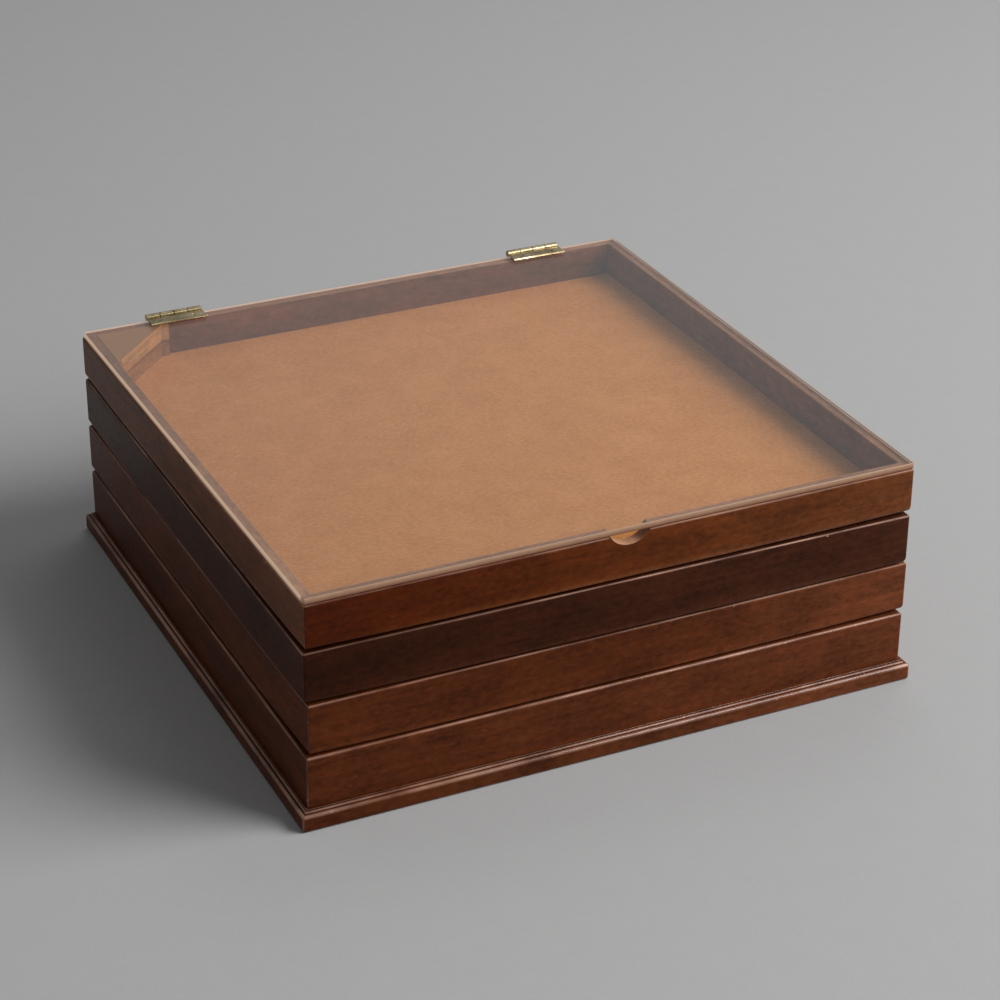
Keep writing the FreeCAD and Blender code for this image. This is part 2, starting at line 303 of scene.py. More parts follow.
class FinishSettings(bpy.types.PropertyGroup):
    """Colours of the finishes."""

    top_stain: colour("Top tier", "Stain of the top tier's walls", (0.084, 0.0165, 0.0022))
    second_stain: colour("Second tier", "Stain of the second tier's walls", (0.034, 0.0078, 0.0022))
    third_stain: colour("Third tier", "Stain of the third tier's walls", (0.089, 0.0212, 0.0055))
    base_stain: colour("Base tier", "Stain of the base tier's walls", (0.089, 0.0212, 0.0060))
    moulding_stain: colour("Moulding", "Stain of the base moulding", (0.089, 0.0225, 0.0063))
    pore: colour("Pores", "Dark pores of the wood", (0.01, 0.004, 0.003))
    # Pale worn wood, which the worn line of an edge also uses as a painted highlight
    worn_edge_and_highlight: colour("Worn edge", "Wood where an edge has lost its stain", (0.58, 0.33, 0.23))
    raw_wood: colour("Raw wood", "Unstained cut wood", (0.46, 0.24, 0.135))
    block_wood: colour("Block", "Thinly stained corner blocks", (0.37, 0.167, 0.054))
    block_lower: colour("Block below", "Tint of a block below its glue line", (0.74, 0.62, 0.55))
    glue_line: colour("Glue line", "Tint of a block's glue line", (0.40, 0.30, 0.26))
    hardboard: colour("Hardboard", "Floor panels", (0.56, 0.222, 0.055))
    brass: colour("Brass", "Clean brass of the hinges", (0.70, 0.57, 0.34))
    tarnish: colour("Tarnish", "Aged brown film on the brass", (0.20, 0.15, 0.075))
    steel: colour("Steel", "Zinc-plated bolt and washers", (0.52, 0.53, 0.54))
    felt: colour("Felt", "Felt glides", (0.030, 0.024, 0.020))
    acrylic: colour("Acrylic", "Tint of the clear lid", (0.985, 0.98, 0.97))
    acrylic_shade: colour("Acrylic shade", "Tint of light that falls through the lid", (0.9, 0.89, 0.88))
    # The warm tone of the sawn edge is partly painted: it stands in for the wood and hardboard seen through
    # it
    sawn_deep: colour("Sawn edge, deep", "Darker marks of the lid's edge", (0.24, 0.138, 0.087))
    sawn_light: colour("Sawn edge, light", "Lighter marks of the lid's edge", (0.29, 0.168, 0.106))
    # Painted reflection of the stained wood below, in the lid's edge
    painted_wood_reflection: colour("Wood below", "Tint of the lid's edge over stained wood", (0.42, 0.24, 0.17))
    # Painted glow: emission of the lid's edges that stands in for light carried in the sheet
    front_painted_glow: colour("Front glow", "Light out of the lid's front edge", (0.26, 0.16, 0.10))
    side_painted_glow: colour("Side glow", "Light out of the lid's side edges", (0.95, 0.71, 0.51))
    rear_painted_glow: colour("Rear glow", "Light out of the lid's rear edge", (0.78, 0.66, 0.57))


class StageSettings(bpy.types.PropertyGroup):
    """Camera, lights and floor."""

    target: FloatVectorProperty(
        name="Target", description="Point in the middle of the view", default=(0.0095, -0.0054, 0.0575),
        subtype="TRANSLATION",
    )
    distance: length("Distance", "Distance of the camera from the target", 1.3608)
    azimuth: angle("Azimuth", "Turn of the camera to the right", -25.303)
    elevation: angle("Elevation", "Camera's height as an angle", 27.648)
    roll: angle("Roll", "Tilt of the camera about its view", 0.311)
    lens: FloatProperty(name="Lens", description="Focal length on a 36 mm sensor, in mm", default=98.74)
    floor_colour: colour("Floor", "Pale floor", (0.42, 0.42, 0.42))
    surround: amount("Surround", "Brightness of the grey surround", 0.22)
    key_power: amount("Key", "Power of the soft light from the right, in watts", 118.0)
    top_power: amount("Overhead", "Power of the soft light from above, in watts", 2.0)
    card_power: amount("Card", "Power of the pale card behind the box, in watts", 1.8)


class DisplayBoxSettings(bpy.types.PropertyGroup):
    """All settings of the display box."""

    tier: PointerProperty(type=TierSettings)
    moulding: PointerProperty(type=MouldingSettings)
    lid: PointerProperty(type=LidSettings)
    hinge: PointerProperty(type=HingeSettings)
    finish: PointerProperty(type=FinishSettings)
    stage: PointerProperty(type=StageSettings)


# Sizes read from the frame


def corners_of(node):
    """Corner points of a node's mesh as an array."""
    mesh = frame["nodes"][node].data
    points = np.empty(len(mesh.vertices) * 3)
    mesh.vertices.foreach_get("co", points)
    return points.reshape(-1, 3)


def pivot():
    """Plan point of the upright pivot."""
    joint = next(joint for joint in frame["joints"] if joint["child"] == "top_tier")
    return np.array(joint["pos_m"][:2])


def swing_of(tier):
    """Angle by which a tier stands turned, from the front edge of its floor panel."""
    points = corners_of(tier + "_floor_panel")[:, :2]
    left = points[np.argmin(points.sum(1))]
    right = points[np.argmax(points[:, 0] - points[:, 1])]
    return math.atan2(right[1] - left[1], right[0] - left[0])


def turned(points, turn, centre=(0.0, 0.0)):
    """Points turned about an upright axis through a plan point."""
    cosine, sine = math.cos(turn), math.sin(turn)
    moved = np.array(points, float)
    across, along = moved[..., 0] - centre[0], moved[..., 1] - centre[1]
    moved[..., 0] = centre[0] + across * cosine - along * sine
    moved[..., 1] = centre[1] + across * sine + along * cosine
    return moved


def swung(points, tier):
    """Points of a tier drawn square, turned about the pivot to where the tier stands."""
    return turned(points, swing_of(tier), pivot())


def squared(points, tier):
    """Points of a tier where it stands, turned back to square."""
    return turned(points, -swing_of(tier), pivot())


def square_box(node, tier="top_tier"):
    """Lowest and highest corner of a node, with the swing of the tier that carries it taken out."""
    points = squared(corners_of(node), tier)
    return points.min(0), points.max(0)


def seed_of(name):
    """Number made from a name's letters."""
    return sum(map(ord, name))


# Meshes


def grid_faces(rows, columns, first=0, close_rows=True):
    """Quads between neighbours on a grid of rows by columns, the rows closed into a ring or left open."""
    numbers = first + np.arange(rows * columns).reshape(rows, columns)
    if close_rows:
        numbers = np.vstack([numbers, numbers[:1]])
    quads = np.stack([numbers[:-1, :-1], numbers[:-1, 1:], numbers[1:, 1:], numbers[1:, :-1]], -1)
    return quads.reshape(-1, 4).tolist()


def joined(shapes):
    """Several shapes of points and faces as one."""
    points, faces, total = [], [], 0
    for some_points, some_faces in shapes:
        points.append(some_points.reshape(-1, 3))
        faces += [[total + number for number in face] for face in some_faces]
        total += len(points[-1])
    return np.concatenate(points), faces


def new_piece(name, points, faces, attributes=None):
    """Object with a closed mesh: doubles merged, normals outwards, round edges smooth and others sharp."""
    mesh = bpy.data.meshes.new(name)
    mesh.from_pydata(np.asarray(points).reshape(-1, 3).tolist(), [], faces)
    for label, values in (attributes or {}).items():
        is_vector = values.shape[-1] == 3
        layer = mesh.attributes.new(label, "FLOAT_VECTOR" if is_vector else "FLOAT", "POINT")
        numbers = np.ascontiguousarray(values.ravel(), np.float32)
        layer.data.foreach_set("vector" if is_vector else "value", numbers)
    merged = bmesh.new()
    merged.from_mesh(mesh)
    bmesh.ops.remove_doubles(merged, verts=merged.verts, dist=MERGE_DISTANCE)
    bmesh.ops.dissolve_degenerate(merged, edges=merged.edges, dist=MERGE_DISTANCE)
    bmesh.ops.recalc_face_normals(merged, faces=merged.faces)
    merged.to_mesh(mesh)
    merged.free()
    mesh.shade_smooth()
    mesh.set_sharp_from_angle(angle=SHARP_ANGLE)
    piece = bpy.data.objects.new(name, mesh)
    bpy.context.scene.collection.objects.link(piece)
    return piece


def seat(piece, body, slot, materials, *nodes):
    """Give a new piece its finishes and its body, in place of the nodes that it stands for."""
    for material in materials:
        piece.data.materials.append(material)
    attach(piece, body)
    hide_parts(*nodes)


def dress(node, material):
    """Give a node that keeps its own mesh a finish."""
    slots = frame["nodes"][node].data.materials
    slots.clear()
    slots.append(material)


# Mitred sides: a section carried along one side of a square frame


def section_rings(corners, count):
    """Points round a closed section of right-angled corners, for every station at once.

    A corner p with unit vectors u back and w on along the section is a quarter circle of radius r,
    c - r (w cos t + u sin t) about c = p + r (u + w), held by one point on the flat at each end. A
    corner of no radius is one point. Returns depth and height by point and station, and how far each
    point lies on a rounded edge, which is sin 2t along the arc.
    """
    spread_out = [[np.broadcast_to(value, count) for value in corner] for corner in corners]
    spots = np.array([np.stack([depth, height], -1) for depth, height, _ in spread_out])
    t = np.linspace(0, QUARTER_TURN, ARC_STEPS + 1)[:, None, None]
    rings, roundness = [], []
    for index, (spot, corner) in enumerate(zip(spots, spread_out)):
        radius = corner[2][:, None]
        if radius.max() == 0:
            rings.append(spot[None])
            roundness.append([0.0])
            continue
        back = np.sign(np.round((spots[index - 1] - spot) / MERGE_DISTANCE))
        on = np.sign(np.round((spots[(index + 1) % len(spots)] - spot) / MERGE_DISTANCE))
        centre = spot + radius * (back + on)
        arc = centre - radius * (on * np.cos(t) + back * np.sin(t))
        rings.append(np.concatenate([(spot + (radius + HOLD) * back)[None], arc]))
        rings.append((spot + (radius + HOLD) * on)[None])
        roundness.append([0.0, *np.sin(2 * t.ravel()), 0.0])
    return np.concatenate(rings), np.concatenate(roundness)


def side_stations(half, extra=()):
    """Stations along a side: half of each upright corner, given by its angle, and the straight between."""
    corner = np.radians(np.linspace(45, 0, CORNER_STEPS, endpoint=False))
    spaces = round(2 * half / STATION_SPACING)
    straight = np.union1d(np.linspace(-half, half, spaces + 1), [HOLD - half, half - HOLD, *extra])
    place = np.concatenate([np.full(CORNER_STEPS, -half), straight, np.full(CORNER_STEPS, half)])
    turn = np.concatenate([corner, np.zeros(len(straight)), -corner[::-1]])
    return place, turn


def side_points(rings, place, turn, half, ease):
    """Points of a mitred side at the front of its frame, by section point and station.

    A section point at depth d runs straight at y = d - half. Its ends go round half of the upright
    corner, a circle of radius e = max(ease - d, 0), to the 45 degree mitre: by -e sin a along and
    e (1 - cos a) in for the corner's angle a. Stations near an end lean over to follow the mitre.
    """
    depth, height = rings[..., 0], rings[..., 1]
    round_part = np.maximum(ease - depth, 0)
    lean = np.maximum(0, 1 - (place + half) / MITRE_LEAN) - np.maximum(0, 1 - (half - place) / MITRE_LEAN)
    along = place + (depth + round_part) * lean - round_part * np.sin(turn)
    inward = depth - half + round_part * (1 - np.cos(turn))
    return np.stack([along, inward, height], -1)


def waver(place, share, seed):
    """Slow variation along an edge: sine waves of unlike length, scaled to a share and added to 1."""
    waves = sum(height * np.sin(place * pace + seed * phase) for pace, phase, height in EASE_WAVES)
    return 1 + share * waves / sum(height for _, _, height in EASE_WAVES)


def side_piece(part, side, rings, roundness, stations, half, ease, raw=0.0, lower_ease=0.0, top_wear=1.0):
    """Closed mitred side where it stands in its frame, with the attributes that its finish reads.

    board is the place on the board with a step aside for each board, wear runs from 0 on a flat to 1
    on a rounded edge or upright corner, painted_underlight is painted light from below that runs from 0
    on the face to 1 at the foot of a lower ease, painted_light is painted light and shade on the stain
    along the board, by side, on the left and on inner faces, and raw marks cut wood without stain.
    """
    place, turn = stations
    points = side_points(rings, place, turn, half, ease)
    depth, height = rings[..., 0], rings[..., 1]
    corner = np.abs(np.sin(2 * turn)) * np.clip((ease - depth) / ease, 0, 1)
    is_upper = height > (height.min() + height.max()) / 2
    wear = np.maximum(roundness[:, None] * np.where(is_upper, top_wear, LOW_WEAR), corner * CORNER_WEAR)
    # Painted light from below on the foot of a lower ease
    painted_underlight = np.clip(1 - (height - height.min()) / max(PAINTED_UNDERLIGHT_REACH * lower_ease, HOLD), 0, 1)
    # Painted light and shade: the stain's brightness along the side, by side, on the left and on inner faces
    look = WOOD_LOOKS[part]
    along = look.front_painted_light if side == "front" else SIDE_PAINTED_LIGHT[side]
    shade = look.left_painted_shade if side == "left" else 1.0
    inner = np.clip((depth / depth.max() - INNER_START) / (1 - INNER_START), 0, 1)
    painted_light = np.interp(place, (-half, 0, half), along) * shade * (1 + (INNER_PAINTED_LIGHT[side] - 1) * inner)
    aside = BOARD_STEP * seed_of(part + side) % BOARD_CYCLE
    made = {"board": points + np.array([aside, 0.0, SIDE_STEP * SIDES.index(side)])}
    for label, values in (("wear", wear), ("painted_underlight", painted_underlight), ("painted_light", painted_light), ("raw", raw)):
        made[label] = np.broadcast_to(values, wear.shape)[..., None]
    sections, count = wear.shape
    ends = np.arange(sections) * count
    faces = grid_faces(sections, count) + [ends.tolist(), (ends + count - 1).tolist()]
    return turned(points, SIDES.index(side) * QUARTER_TURN), faces, made


# Tier walls


def notch_stations(settings):
    """Stations across the finger notch and just beside it."""
    reach = settings.notch_width / 2
    inside = np.linspace(-1, 1, NOTCH_POINTS) * reach
    return settings.notch_offset + np.array([-reach - HOLD / 2, *inside, reach + HOLD / 2])


def notch_drop(place, settings):
    """Depth of the round notch below the rim along the wall, the lower part of a circle."""
    half_width, depth = settings.notch_width / 2, settings.notch_depth
    radius = (half_width ** 2 + depth ** 2) / (2 * depth)
    across = np.clip(np.abs(place - settings.notch_offset), 0, radius)
    return np.maximum(0, np.sqrt(radius ** 2 - across ** 2) - (radius - depth))


def tier_section(low, high, panel, settings, lower_ease, place, seed, drop, notched):
    """Corners of a tier wall's section, as depth, height and radius, for every station.

    The wall has a groove for the floor panel and eased edges. The lower ease grows towards the ends by
    a power of the place. Where the notch passes, the rim is lower by drop and its edges are crisp.
    """
    wall = high[1] - low[1]
    floor, rim = low[2], high[2] - drop
    back = panel[0][1] - settings.panel_play - low[1]
    groove_low, groove_high = panel[0][2], panel[1][2] + settings.panel_play
    ease = waver(place, settings.ease_waver, seed)
    top_ease = np.where(notched, settings.notch_arris, settings.top_ease * ease)
    inner_ease = np.where(notched, settings.notch_arris, settings.inner_ease * ease)
    rubbed_ease = lower_ease * (MIDDLE_EASE + (1 - MIDDLE_EASE) * (place / place.max()) ** EASE_POWER)
    face_low = floor + lower_ease + 2 * HOLD
    face_high = high[2] - settings.notch_depth - settings.top_ease - 2 * HOLD
    shares = np.linspace(1, 0, FACE_POINTS + 2)[1:-1]
    outer_face = [(0, face_low + (face_high - face_low) * share, 0) for share in shares]
    return [
        (0, floor, rubbed_ease),
        (wall, floor, 0),
        (wall, groove_low, 0),
        (back, groove_low, 0),
        (back, groove_high, 0),
        (wall, groove_high, 0),
        (wall, rim, inner_ease),
        (0, rim, top_ease),
        *outer_face,
    ]


def rim_without_stain(rings, place, half, side, rim, notched, settings):
    """Share of raw wood on the top tier's rim: along its flat and all round the notch, less to the right as
    painted shade.
    """
    depth, height = rings[..., 0], rings[..., 1]
    arris = settings.notch_arris
    in_notch = (height > rim - NOTCH_RAW_REACH * arris) & (depth > arris / 2) & notched
    on_flat = height > rim - HOLD / 10
    across = (place - settings.notch_offset) / settings.notch_width
    # Less raw wood to the right paints shade on the notch's flank that faces away from the light
    notch_raw = np.clip(NOTCH_RAW - NOTCH_PAINTED_SHADE_FALL * across, NOTCH_RAW_LEAST, 1)
    flat_raw = np.interp(place, (-half, half), RIM_RAW[side])
    return np.where(in_notch, notch_raw, np.where(on_flat, flat_raw, 0.0))


class DISPLAYBOX_OT_tier_walls(bpy.types.Operator):
    """Build the four mitred, grooved and eased walls of each tier"""

    bl_idname = "displaybox.tier_walls"
    bl_label = "Tier Walls"

    def execute(self, context):
        box = context.scene.display_box
        finish = box.finish
        stains = {
            "base_tier": finish.base_stain,
            "third_tier": finish.third_stain,
            "second_tier": finish.second_stain,
            "top_tier": finish.top_stain,
        }
        for tier, stain in stains.items():
            wood = stained_wood(tier, stain, finish)
            for side in SIDES:
                self.build_wall(tier, side, wood, box.tier)
        return {"FINISHED"}

    def build_wall(self, tier, side, wood, settings):
        """One wall of a tier, from the front wall's section turned to its side."""
        is_top = tier == "top_tier"
        has_notch = is_top and side == "front"
        low, high = square_box(tier + "_front_wall", tier)
        panel = square_box(tier + "_floor_panel", tier)
        half = -low[1]
        lower_ease = settings.base_arris if tier == "base_tier" else settings.bottom_ease
        stations = side_stations(half, notch_stations(settings) if has_notch else ())
        place = stations[0]
        drop = notch_drop(place, settings) if has_notch else 0.0
        reach = settings.notch_width / 2 + MERGE_DISTANCE
        notched = (np.abs(place - settings.notch_offset) <= reach) & has_notch
        seed = seed_of(tier + side)
        section = tier_section(low, high, panel, settings, lower_ease, place, seed, drop, notched)
        rings, roundness = section_rings(section, len(place))
        raw = 0.0
        if is_top:
            raw = rim_without_stain(rings, place, half, side, high[2] - drop, notched, settings)
        points, faces, made = side_piece(
            tier, side, rings, roundness, stations, half, settings.corner_ease, raw, lower_ease,
            LID_WEAR if is_top else 1.0,
        )
        name = tier + "_" + side + "_wall"
        piece = new_piece(name + "_stained", swung(points, tier), faces, made)
        seat(piece, "base" if tier == "base_tier" else tier, "stained_wood", [wood], name)


class DISPLAYBOX_OT_base_moulding(bpy.types.Operator):
    """Build the four mitred lengths of the base moulding: a bead, a cove and a flat step"""

    bl_idname = "displaybox.base_moulding"
    bl_label = "Base Moulding"

    def execute(self, context):
        box = context.scene.display_box
        settings = box.moulding
        low, high = square_box("base_front_moulding", "base_tier")
        wall = square_box("base_tier_front_wall", "base_tier")[0]
        wood = stained_wood("moulding", box.finish.moulding_stain, box.finish)
        half, width = -low[1], high[1] - low[1]
        step = wall[1] - low[1] - settings.step
        shoulder = high[2] - settings.step_height
        stations = side_stations(half)
        for side in SIDES:
            section = [
                (0, low[2], settings.lower_ease),
                (width, low[2], 0),
                (width, high[2], 0),
                (step, high[2], settings.arris),
                (step, shoulder, settings.cove),
                (0, shoulder, settings.bead * waver(stations[0], box.tier.ease_waver / 2, seed_of(side))),
            ]
            rings, roundness = section_rings(section, len(stations[0]))
            shape = side_piece("moulding", side, rings, roundness, stations, half, box.tier.corner_ease)
            name = "base_" + side + "_moulding"
            seat(new_piece(name + "_stained", *shape), "base", "stained_wood", [wood], name)
        return {"FINISHED"}


# Flat plates with holes


def rounded_rectangle(low, high, radius, inset):
    """Plan outline of a rectangle moved in by an inset, with a quarter circle at each corner."""
    t = np.linspace(0, QUARTER_TURN, ARC_STEPS + 1)
    corners = []
    for quarter, (right, upper) in enumerate(((1, 1), (-1, 1), (-1, -1), (1, -1))):
        tip = np.array([high[0] if right > 0 else low[0], high[1] if upper > 0 else low[1]])
        centre = tip - radius * np.array([right, upper])
        turn = t + quarter * QUARTER_TURN
        corners.append(centre + (radius - inset) * np.stack([np.cos(turn), np.sin(turn)], -1))
    return np.concatenate(corners)


def mitred_outline(corners, inset):
    """Straight-sided outline moved in: a corner moves by inset (m + n) / (1 + m.n) for its sides' normals."""
    spots = np.asarray(corners, float)
    along = np.roll(spots, -1, 0) - spots
    normal = np.stack([-along[:, 1], along[:, 0]], -1) / np.linalg.norm(along, axis=1)[:, None]
    last = np.roll(normal, 1, 0)
    return spots + inset * (normal + last) / (1 + (normal * last).sum(1))[:, None]


def circle(centre, radius):
    """Plan circle."""
    t = np.linspace(0, FULL_TURN, HOLE_POINTS, endpoint=False)
    return np.asarray(centre) + radius * np.stack([np.cos(t), np.sin(t)], -1)


def at_height(plan, height):
    """Plan points lifted to a height."""
    return np.column_stack([plan, np.full(len(plan), height)])


def plate(rims, holes, are_through):
    """Plate whose edge is a run of rims from the upper face to the lower, with holes.

    A hole is a run of rings from the upper face down: it reaches the lower face, or is closed by its
    last ring. Neighbouring rings are joined by quads, and the flat faces are filled between rings.
    """
    points, faces = [], []
    upper, lower = [], []
    total = 0
    for rings, is_open in [(rims, True), *((rings, are_through) for rings in holes)]:
        size = len(rings[0])
        faces += grid_faces(size, len(rings), total)
        numbers = total + np.arange(size * len(rings)).reshape(size, len(rings))
        points.append(np.stack(rings, 1).reshape(-1, 3))
        upper.append((rings[0], numbers[:, 0]))
        if is_open:
            lower.append((rings[-1], numbers[:, -1]))
        else:
            faces.append(numbers[:, -1].tolist())
        total += size * len(rings)
    for loops in (upper, lower):
        numbers = np.concatenate([loop[1] for loop in loops])
        triangles = tessellate_polygon([[Vector(point) for point in loop[0]] for loop in loops])
        faces += numbers[np.array(triangles)].tolist()
    return np.concatenate(points), faces


# Lid


class DISPLAYBOX_OT_lid(bpy.types.Operator):
    """Build the clear lid: a sheet with round corners, chamfered sawn edges and blind screw holes"""

    bl_idname = "displaybox.lid"
    bl_label = "Lid"

    def execute(self, context):
        box = context.scene.display_box
        settings = box.lid
        low, high = square_box("acrylic_lid")
        chamfer = settings.edge_chamfer
        edge = [(chamfer, high[2]), (0, high[2] - chamfer), (0, low[2] + chamfer), (chamfer, low[2])]
        rims = [
            at_height(rounded_rectangle(low, high, settings.corner_radius, inset), height)
            for inset, height in edge
        ]
        radius = box.hinge.shank_radius + settings.hole_clearance
        holes = []
        for hinge in HINGES:
            screws = square_box(hinge + "_lid_screws")
            depth = screws[0][2] - settings.hole_clearance
            for centre in screw_centres(screws, 1):
                holes.append([at_height(circle(centre, radius), height) for height in (high[2], depth)])
        points, faces = plate(rims, holes, are_through=False)
        piece = new_piece("acrylic_lid_clear", swung(points, "top_tier"), faces)
        finishes = [clear_acrylic(box.finish), sawn_acrylic(box.finish, low, high)]
        seat(piece, "lid", "acrylic", finishes, "acrylic_lid")
        piece.visible_diffuse = False
        self.mark_sawn_edge(piece.data, low, high, chamfer)
        return {"FINISHED"}

    def mark_sawn_edge(self, mesh, low, high, chamfer):
        """Give the upright and chamfered faces round the lid the second finish."""
        normals, centres = np.empty((2, len(mesh.polygons) * 3))
        mesh.polygons.foreach_get("normal", normals)
        mesh.polygons.foreach_get("center", centres)
        off_middle = np.abs(squared(centres.reshape(-1, 3), "top_tier") - (low + high) / 2)
        is_near_edge = (off_middle[:, :2] > (high - low)[:2] / 2 - 2 * chamfer).any(1)
        is_flat = np.abs(normals.reshape(-1, 3)[:, 2]) > FLAT_NORMAL
        mesh.polygons.foreach_set("material_index", (is_near_edge & ~is_flat).astype(np.int32))


# Hinges


def screw_centres(screws, across):
    """Middles of two screws along X from the box round both, with heads as wide as the box is across."""
    head_radius = (screws[1][across] - screws[0][across]) / 2
    middle = (screws[1][across] + screws[0][across]) / 2
    return [np.array([along, middle]) for along in (screws[0][0] + head_radius, screws[1][0] - head_radius)]


def knuckle(start, end, outer, bore, chamfer):
    """Tube along X, turned from a closed profile of length and radius, with chamfered ends."""
    profile = np.array([
        (start, bore),
        (start, outer - chamfer),
        (start + chamfer, outer),
        (end - chamfer, outer),
        (end, outer - chamfer),
        (end, bore),
        (start, bore),
    ])
    t = np.linspace(0, FULL_TURN, KNUCKLE_POINTS, endpoint=False)[:, None]
    along = np.broadcast_to(profile[:, 0], (len(t), len(profile)))
    points = np.stack([along, profile[:, 1] * np.sin(t), profile[:, 1] * np.cos(t)], -1)
    return points, grid_faces(len(t), len(profile))


def leaf_outline(settings, half, leaf_width, barrel, bore):
    """Comb outline of a leaf forward of a pin along X, with its front edge first.

    Its tongues end inside the knuckles' walls, and every other pitch is cut back to clear the other
    leaf's knuckle. One point on each side marks where the front bevel ends.
    """
    pitch = 2 * half / settings.knuckle_count
    tongue, notch = -(barrel + bore) / 2, -barrel - settings.knuckle_room
    bevel_line = settings.leaf_bevel - leaf_width
    comb = [(-half, -leaf_width), (half, -leaf_width), (half, bevel_line)]
    for index in reversed(range(settings.knuckle_count)):
        is_tongue = index % 2 == 0
        gap = settings.knuckle_gap / 2 * (1 if is_tongue else -1)
        right = min((index + 1) * pitch - half - gap, half)
        left = max(index * pitch - half + gap, -half)
        reach = tongue if is_tongue else notch
        comb += [(right, reach), (left, reach)]
    return [*comb, (-half, bevel_line)]


def leaf_surface(settings, half, leaf_width, thickness, barrel, pin, head_radius, screw_spots):
    """Leaf forward of a pin along X: a comb plate with rounded edges and countersunk holes, and its knuckles.

    An edge is two quarter circles of the arris. The upper rims drop along the front edge, and the flat
    rim before them stops at the bevel's line.
    """
    bore = pin + settings.pin_clearance
    comb = leaf_outline(settings, half, leaf_width, barrel, bore)
    t = np.linspace(0, QUARTER_TURN, ARRIS_POINTS)
    inset = settings.leaf_arris * (1 - np.sin(t))
    lift = thickness / 2 - settings.leaf_arris * (1 - np.cos(t))
    edge = [*zip(inset, lift), *zip(inset[::-1], -lift[::-1])]
    rims = [at_height(mitred_outline(comb, distance), height) for distance, height in edge]
    flat = rims[0].copy()
    flat[:2, 1] = flat[2, 1]
    for rim in rims[:ARRIS_POINTS]:
        rim[:2, 2] -= settings.bevel_drop
    sink = ((head_radius, thickness / 2), (settings.shank_radius, -thickness / 2))
    holes = [
        [at_height(circle(spot, radius + settings.pin_clearance), height) for radius, height in sink]
        for spot in screw_spots
    ]
    shapes = [plate([flat, *rims], holes, are_through=True)]
    pitch = 2 * half / settings.knuckle_count
    for index in range(0, settings.knuckle_count, 2):
        start = index * pitch - half + settings.knuckle_gap / 2
        end = start + pitch - settings.knuckle_gap
        shapes.append(knuckle(start, end, barrel, bore, settings.knuckle_chamfer))
    return joined(shapes)


def to_wall(points):
    """Leaf turned end for end and down onto the back of the wall: x, y, z become -x, z, y."""
    return np.stack([-points[..., 0], points[..., 2], points[..., 1]], -1)


class DISPLAYBOX_OT_hinges(bpy.types.Operator):
    """Build the leaves and finish the pins of the two butt hinges"""

    bl_idname = "displaybox.hinges"
    bl_label = "Hinges"

    def execute(self, context):
        box = context.scene.display_box
        brass = aged_brass(box.finish)
        lid_top = square_box("acrylic_lid")[1][2]
        for hinge in HINGES:
            pin_low, pin_high = square_box(hinge + "_pin")
            pin_middle, half = (pin_low + pin_high) / 2, (pin_high[0] - pin_low[0]) / 2
            leaf_low, leaf_high = square_box(hinge + "_lid_leaf")
            screws = square_box(hinge + "_lid_screws")
            head_radius = (screws[1][1] - screws[0][1]) / 2
            spots = [spot - pin_middle[:2] for spot in screw_centres(screws, 1)]
            points, faces = leaf_surface(
                box.hinge, half, pin_middle[1] - leaf_low[1], 2 * (pin_middle[2] - lid_top),
                leaf_high[2] - pin_middle[2], (pin_high[2] - pin_low[2]) / 2, head_radius, spots,
            )
            leaves = (("lid", "_lid_leaf", points), ("top_tier", "_wall_leaf", to_wall(points)))
            for body, kind, made in leaves:
                piece = new_piece(hinge + kind + "_brass", swung(made + pin_middle, "top_tier"), faces)
                seat(piece, body, "brass", [brass], hinge + kind)
            dress(hinge + "_pin", brass)
        return {"FINISHED"}


def screw_surface(head_radius, shank_radius, head_height, total, slot_width, slot_depth):
    """Slotted countersunk screw along Z with its top at 0, cut into upright slices across its slot.

    In the slice at y the cone of radius r(z) shows as a chord of half width sqrt(r(z)^2 - y^2). Slices
    inside the slot start lower, and the slot's walls are slices at the same y with both tops. The
    shank is a turned profile that starts inside the head.
    """
    half_slot = slot_width / 2
    slices = np.sin(np.linspace(-QUARTER_TURN, QUARTER_TURN, HEAD_SLICES)) * head_radius
    slices = slices[np.abs(np.abs(slices) - half_slot) > SLOT_ROOM * half_slot]
    slices = np.sort(np.concatenate([slices, [-half_slot, -half_slot, half_slot, half_slot]]))
    inside = np.abs(slices) < half_slot
    first, last = np.flatnonzero(slices == -half_slot), np.flatnonzero(slices == half_slot)
    inside[[first[1], last[0]]] = True
    slope = head_height / (head_radius - shank_radius)
    top = np.where(inside, -slot_depth, 0.0)
    bottom = np.maximum(-head_height, -(head_radius - np.abs(slices)) * slope)
    share = np.linspace(0, 1, HEAD_LEVELS)[:, None]
    height = top + (np.minimum(bottom, top) - top) * share
    chord = np.sqrt(np.maximum((head_radius + height / slope) ** 2 - slices ** 2, 0))
    across = np.broadcast_to(slices, chord.shape)
    right = np.stack([chord, across, height], -1)
    left = np.stack([-chord, across, height], -1)[::-1]
    head = np.concatenate([right, left])
    start = -head_height * SHANK_START
    profile = np.array([
        (0, start),
        (shank_radius * SHANK_TAPER, start),
        (shank_radius, -head_height),
        (shank_radius, shank_radius / 2 - total),
        (0, -total),
    ])
    t = np.linspace(0, FULL_TURN, SHANK_POINTS, endpoint=False)[:, None]
    level = np.broadcast_to(profile[:, 1], (len(t), len(profile)))
    shank = np.stack([profile[:, 0] * np.cos(t), profile[:, 0] * np.sin(t), level], -1)
    return joined([
        (head, grid_faces(*head.shape[:2])),
        (shank, grid_faces(*shank.shape[:2])),
    ])


